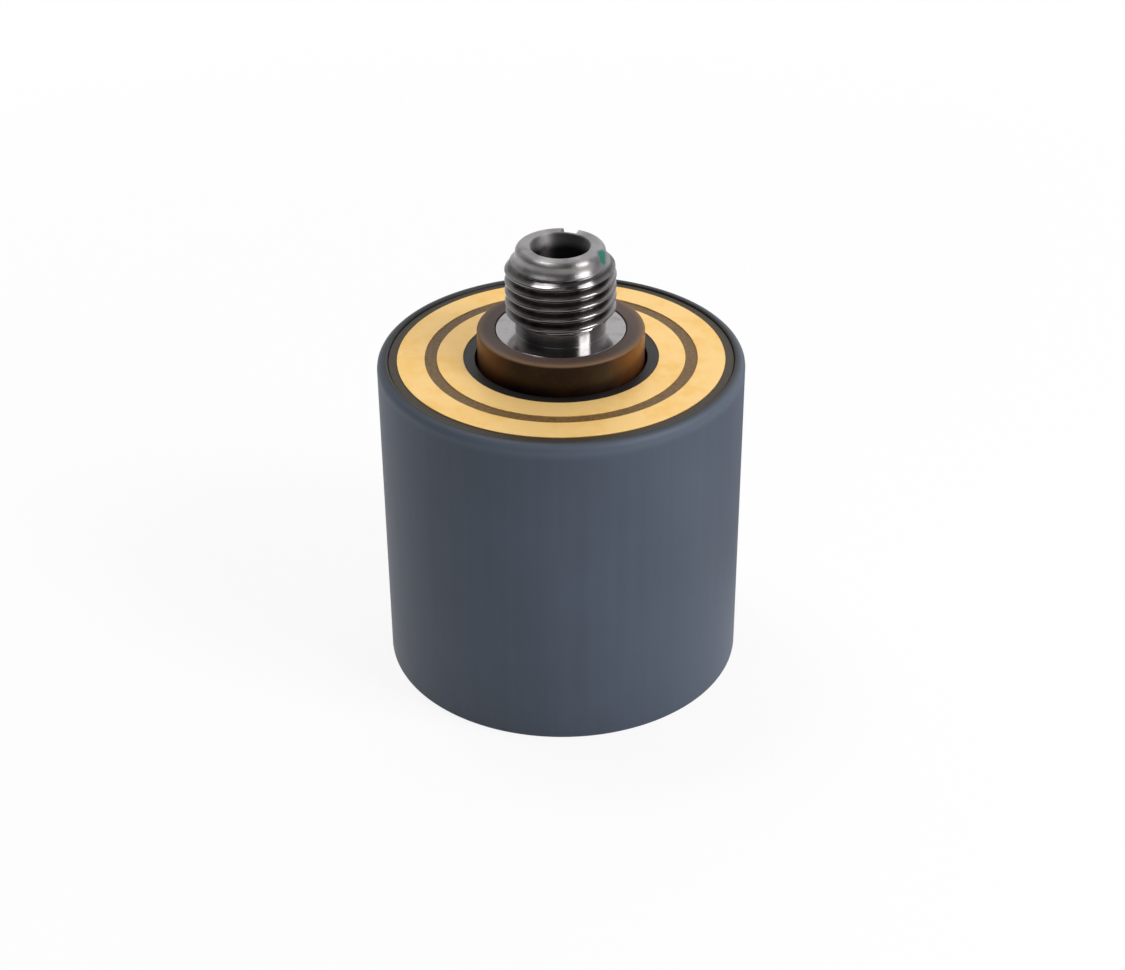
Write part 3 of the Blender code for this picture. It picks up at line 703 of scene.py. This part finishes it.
def makeContacts():
    inside, outside, edge = contacts["holeRadius"], contacts["boardRadius"], contacts["edge"]
    board = flatRing("contactBoard", "contact_board", inside, outside, edge)
    finished(board, finishes["laminate"], "laminate", "contact_board")
    for name in ("inner", "outer"):
        node = f"{name}_contact_ring"
        ring = flatRing(f"{name}GoldRing", node, *contacts[name], contacts["plateEdge"])
        finished(ring, finishes["gold"], "gold", node)


makeContacts()


# The turned amber collar that keeps the spigot off the board

def makeCollar():
    # a rectangle as high as the node, with its outer upper corner rounded most, turned about Z
    low, high = (corner.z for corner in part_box("insulating_collar"))
    inside, outside, small = collar["inside"], collar["outside"], collar["otherEdges"]
    outline = roundedOutline([
        (inside, low, small), (outside, low, small), (outside, high, collar["edge"]), (inside, high, small)])
    piece = skin("amberCollar", spun(outline, collar["columns"]))
    finished(piece, finishes["collar"], "collar", "insulating_collar")


makeCollar()


# The turned spigot: bore, end, chamfer, thread, neck, shoulder, hub, flange and the capsule's cup
spigot = {
    "passageRadius": 1.0 * mm,
    "boreRadius": 3.5 * mm,
    "boreDepth": 10.0 * mm,
    "boreChamfer": 0.1 * mm,
    "boreEdge": 0.03 * mm,
    "boreFloorRound": 0.3 * mm,
    "noseRadius": 5.2985 * mm,
    "noseLength": 1.3 * mm,
    "endRound": 0.7 * mm,
    "noseRound": 0.9 * mm,
    "threadRadius": 6.5785 * mm,
    "pitch": 1.337 * mm,
    "threadDepth": 0.8561 * mm,
    "threadRound": 0.1836 * mm,
    "flank": math.radians(27.5),
    "crestBelowEnd": 2.6 * mm,
    "threadLength": 9.0 * mm,
    "threadEdge": 0.15 * mm,
    "runout": 0.9 * mm,
    "runoutRound": 0.2 * mm,
    "neckRadius": 5.4024 * mm,
    "neckLength": 1.7 * mm,
    "neckTopRound": 0.1 * mm,
    "neckFootRound": 0.04 * mm,
    "shoulderRadius": 7.7485 * mm,
    "shoulderEdge": 0.06 * mm,
    "hubRadius": 9.9985 * mm,
    "hubTop": 37.45 * mm,
    "flangeTop": 33.85 * mm,
    "flangeBottom": 30.85 * mm,
    "flangeRadius": 19.5985 * mm,
    "cupRadius": 12.6 * mm,
    "pocketRadius": 9.6 * mm,
    "pocketTop": 28.75 * mm,
    "hiddenEdge": 0.2 * mm,
    "hiddenCorner": 0.4 * mm,
    "screwHoleRadius": 1.35 * mm,
    "notchSize": (9.2 * mm, 8 * mm),
    "notchAngle": math.radians(60),
    "studs": 3,
    "studCircle": 11.1 * mm,
    "studAngle": math.radians(30),
    "studHoleRadius": 0.7 * mm,
    "studHoleDepth": 2.3 * mm,
    "threadStep": 0.075 * mm,
    "columns": 340,
    "nickColumns": 30,
    "nickWidth": 1.8 * mm,
    "nickStart": 3.7 * mm,
    "nickFall": math.radians(30),
    "nickAngle": math.radians(74.5),
    "nickEdge": 0.07 * mm,
}


def threadRadiusAt(angles, heights, end):
    # a pipe thread's rounded form: the crest rises by one pitch a turn, and off is the height from the
    # nearest crest. Near a crest and near a root the radius follows a circle of threadRound, and between them
    # it falls along the flank
    pitch, depth, rounding = spigot["pitch"], spigot["threadDepth"], spigot["threadRound"]
    crest = end - spigot["crestBelowEnd"] + pitch * (angles + math.tau / 4) / math.tau
    off = np.abs((heights - crest + pitch / 2) % pitch - pitch / 2)
    touch = rounding * math.cos(spigot["flank"])
    outer = spigot["threadRadius"]
    crestArc = outer - rounding + np.sqrt(np.maximum(rounding**2 - off**2, 0))
    rootArc = outer - depth + rounding - np.sqrt(np.maximum(rounding**2 - (pitch / 2 - off)**2, 0))
    drop = rounding * (1 - math.sin(spigot["flank"]))
    straight = outer - drop - (off - touch) / math.tan(spigot["flank"])
    return np.where(off < touch, crestArc, np.where(off > pitch / 2 - touch, rootArc, straight))


def nickColumns(radii):
    # the angle of each column at each radius: most share the rim evenly, and the rest follow the nick's
    # parallel sides, at a distance s from its middle line, where the angle is asin(s / r)
    half = spigot["nickWidth"] / 2 + spigot["nickEdge"]
    across = half * np.sin(np.linspace(-1, 1, spigot["nickColumns"]) * math.pi / 2)
    inNick = np.arcsin(np.clip(across / radii, -1, 1))
    widest = np.arcsin(np.clip(half / radii, -1, 1))
    share = np.arange(1, spigot["columns"]) / spigot["columns"]
    rest = widest + (math.tau - 2 * widest) * share
    across = np.concatenate([across, np.full(spigot["columns"] - 1, 2 * half)])
    return spigot["nickAngle"] + np.hstack([inNick, rest]), across


def makeSpigot():
    # point (i, j) is the outline's point i at the angle of column j. Above the neck its radius is at most the
    # thread's there, and across the nick its height is at most that of the floor, which falls outwards. The
    # nick's walls lead it back up over nickEdge
    cupBottom, end = (corner.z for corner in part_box("pressure_spigot"))
    shoulderTop = end - spigot["threadLength"] - spigot["neckLength"]
    neckTop = shoulderTop + spigot["neckLength"]
    edge, inner = spigot["hiddenEdge"], spigot["hiddenCorner"]
    bore, thread, neck = spigot["boreRadius"], spigot["threadRadius"], spigot["neckRadius"]
    boreBottom = end - spigot["boreDepth"]
    nose, noseFoot = spigot["noseRadius"], end - spigot["noseLength"]
    chamferFoot = noseFoot - (thread - nose)
    outline = roundedOutline([
        (spigot["passageRadius"], boreBottom, 0),
        (bore, boreBottom, spigot["boreFloorRound"]),
        (bore, end - spigot["boreChamfer"], spigot["boreEdge"]),
        (bore + spigot["boreChamfer"], end, spigot["boreEdge"]),
        (nose, end, spigot["endRound"]),
        (nose, noseFoot, spigot["noseRound"]),
        (thread, chamferFoot, spigot["threadEdge"]),
        (thread, neckTop + spigot["runout"], spigot["runoutRound"]),
        (neck, neckTop, spigot["neckTopRound"]),
        (neck, shoulderTop, spigot["neckFootRound"]),
        (spigot["shoulderRadius"], shoulderTop, spigot["shoulderEdge"]),
        (spigot["shoulderRadius"], spigot["hubTop"], 0),
        (spigot["hubRadius"], spigot["hubTop"], edge),
        (spigot["hubRadius"], spigot["flangeTop"], inner),
        (spigot["flangeRadius"], spigot["flangeTop"], edge),
        (spigot["flangeRadius"], spigot["flangeBottom"], edge),
        (spigot["cupRadius"], spigot["flangeBottom"], inner),
        (spigot["cupRadius"], cupBottom, edge),
        (spigot["pocketRadius"], cupBottom, 0),
        (spigot["pocketRadius"], spigot["pocketTop"], 0),
        (spigot["passageRadius"], spigot["pocketTop"], 0),
    ])
    outline = divided(outline, neckTop, end, spigot["threadStep"], bore)
    radii, heights = outline[:, :1], outline[:, 1:]
    angles, across = nickColumns(radii)
    heights = heights + 0 * angles
    outside = (heights > neckTop) & (radii > neck)
    cutRadii = np.minimum(radii, threadRadiusAt(angles, heights, end))
    floor = end - (radii - spigot["nickStart"]) * math.tan(spigot["nickFall"])
    wall = np.clip((np.abs(across) - spigot["nickWidth"] / 2) / spigot["nickEdge"], 0, 1)
    radii = np.where(outside, cutRadii, radii + 0 * angles)
    lowered = np.minimum(heights, floor + (heights - floor) * wall)
    heights = np.where(heights > neckTop, lowered, heights)
    piece = skin("spigot", np.stack([radii * np.cos(angles), radii * np.sin(angles), heights], -1))
    low, high = spigot["flangeBottom"] - mm, spigot["flangeTop"] + mm
    places = around(housing["bossCircle"], housing["bosses"])
    shaped(piece, posts("screwHoles", spigot["screwHoleRadius"], low, high, places), "DIFFERENCE")
    size, centre = (*spigot["notchSize"], high - low), (spigot["flangeRadius"], 0, (low + high) / 2)
    shaped(piece, block("leadNotch", size, centre, spigot["notchAngle"]), "DIFFERENCE")
    places = around(spigot["studCircle"], spigot["studs"], spigot["studAngle"])
    low, high = cupBottom - mm, cupBottom + spigot["studHoleDepth"]
    shaped(piece, posts("studHoles", spigot["studHoleRadius"], low, high, places), "DIFFERENCE")
    finished(piece, finishes["steel"], "steel", "pressure_spigot")


makeSpigot()


# The table that it stands on: white to the camera and to reflections, with part of the real shadow left in.
# That part fades out with the distance, and reflections of the corner behind on the right are dimmed
table = {
    "radius": 2.0,
    "drop": 0.02 * mm,
    "columns": 64,
    "colour": (0.95, 0.95, 0.95),
    "shadowShare": 0.12,
    "shadowFade": (0.06, 0.3),
    "cornerDim": 0.6,
    "cornerAcross": (20 * mm, 40 * mm),
    "cornerBehind": (-10 * mm, 15 * mm),
}


def makeTable():
    outline = np.array([(0, -table["drop"]), (table["radius"], -table["drop"])])
    points = spun(outline, table["columns"]).reshape(-1, 3)
    mesh = meshOf("table", points, gridQuads(2, table["columns"], False))
    floor = bpy.data.objects.new("table", mesh)
    bpy.context.scene.collection.objects.link(floor)
    made = bpy.data.materials.new("tableWhite")
    made.use_nodes = True
    finish = Finish(made.node_tree)
    camera = finish.node("ShaderNodeLightPath", {}, {}, "Is Camera Ray")
    glossy = finish.node("ShaderNodeLightPath", {}, {}, "Is Glossy Ray")
    through = finish.node("ShaderNodeLightPath", {}, {}, "Is Transmission Ray")
    seen = finish.maths("MAXIMUM", camera, finish.maths("MAXIMUM", glossy, through))
    place = finish.place()
    across = finish.node("ShaderNodeSeparateXYZ", {}, {0: place}, "X")
    behind = finish.node("ShaderNodeSeparateXYZ", {}, {0: place}, "Y")
    corner = finish.ramp(across, *table["cornerAcross"]) * finish.ramp(behind, *table["cornerBehind"])
    white = finish.mixed(corner * (1 - camera) * table["cornerDim"], (1.0, 1.0, 1.0), (0.0, 0.0, 0.0))
    matt = finish.node("ShaderNodeBsdfDiffuse", {}, {"Color": table["colour"]})
    bright = finish.node("ShaderNodeEmission", {}, {"Color": white, "Strength": 1.0})
    near = 1 - finish.ramp(finish.radius(place), *table["shadowFade"])
    whiteness = seen * (1 - near * table["shadowShare"])
    mix = finish.node("ShaderNodeMixShader", {}, {0: whiteness, 1: matt, 2: bright})
    finish.node("ShaderNodeOutputMaterial", {}, {"Surface": mix})
    mesh.materials.append(made)


makeTable()


# The room: bright behind, more so on the right, dim on the camera's side, and plain white to the camera
# itself. The pairs are on the direction's Y for back and on its X for the others
studio = {
    "behindRight": 1.2,
    "behindLeft": 0.55,
    "front": 0.05,
    "rightSide": 0.4,
    "cornerDim": 0.45,
    "back": (-0.1, 0.7),
    "right": (-0.6, 0.4),
    "corner": (0.3, 0.8),
    "side": (0.55, 0.95),
}


def makeWorld():
    world = bpy.data.worlds.new("studio")
    bpy.context.scene.world = world
    world.use_nodes = True
    finish = Finish(world.node_tree)
    direction = finish.node("ShaderNodeTexCoord", {}, {}, "Generated")
    across = finish.node("ShaderNodeSeparateXYZ", {}, {0: direction}, "X")
    towards = finish.node("ShaderNodeSeparateXYZ", {}, {0: direction}, "Y")
    back = finish.ramp(towards, *studio["back"])
    right = finish.ramp(across, *studio["right"]) * (studio["behindRight"] - studio["behindLeft"])
    corner = finish.ramp(across, *studio["corner"]) * studio["cornerDim"]
    rear = (studio["behindLeft"] + right) * (1 - corner)
    fore = studio["front"] + finish.ramp(across, *studio["side"]) * studio["rightSide"]
    level = back * rear + (1 - back) * fore
    camera = finish.node("ShaderNodeLightPath", {}, {}, "Is Camera Ray")
    strength = level * (1 - camera) + camera
    light = finish.node("ShaderNodeBackground", {}, {"Color": (1.0, 1.0, 1.0), "Strength": strength})
    finish.node("ShaderNodeOutputWorld", {}, {"Surface": light})


# A soft box at the right, a smaller lamp high behind on the left, and a broad dim one high in front. The
# angles are in degrees, azimuth from the camera's side towards +X
lamps = {
    "softBox": {"azimuth": 63, "elevation": 36, "size": (0.36, 0.5), "radiance": 8.0},
    "topLight": {"azimuth": -132, "elevation": 69, "size": (0.24, 0.24), "radiance": 10.0},
    "overhead": {"azimuth": -25, "elevation": 58, "size": (0.5, 0.4), "radiance": 0.5},
}
lampDistance = 0.8
lampAim = (0, 0, 0.04)


def makeLamp(name, azimuth, elevation, size, radiance):
    # a panel that shines with one radiance gives out that radiance times pi times its area
    lamp = bpy.data.lights.new(name, "AREA")
    lamp.shape = "RECTANGLE"
    lamp.size, lamp.size_y = size
    lamp.energy = radiance * math.pi * size[0] * size[1]
    panel = bpy.data.objects.new(name, lamp)
    bpy.context.scene.collection.objects.link(panel)
    a, e = math.radians(azimuth), math.radians(elevation)
    outward = np.array([math.sin(a) * math.cos(e), -math.cos(a) * math.cos(e), math.sin(e)])
    turn = Matrix.Rotation(a, 4, "Z") @ Matrix.Rotation(math.pi / 2 - e, 4, "X")
    panel.matrix_world = Matrix.Translation(outward * lampDistance + np.array(lampAim)) @ turn
    panel.visible_camera = False


makeWorld()
for name, lamp in lamps.items():
    makeLamp(name, **lamp)
print("table, world and lights made")


# The camera, at the photograph's angle
view = {
    "distance": 224.33 * mm,
    "height": 160.055 * mm,
    "tilt": math.radians(58.46),
    "lean": math.radians(-0.42),
    "pan": math.radians(-0.015),
    "lens": 67.9,
    "sensor": 36,
    "clip": (0.01, 20),
}


def makeCamera():
    lens = bpy.data.cameras.new("camera")
    lens.lens = view["lens"]
    lens.sensor_width = view["sensor"]
    lens.clip_start, lens.clip_end = view["clip"]
    camera = bpy.data.objects.new("camera", lens)
    bpy.context.scene.collection.objects.link(camera)
    turn = Matrix.Rotation(view["pan"], 4, "Z") @ Matrix.Rotation(view["tilt"], 4, "X")
    turn = turn @ Matrix.Rotation(view["lean"], 4, "Z")
    camera.matrix_world = Matrix.Translation((0, -view["distance"], view["height"])) @ turn
    bpy.context.scene.camera = camera


makeCamera()
bpy.context.scene.view_settings.view_transform = "Standard"
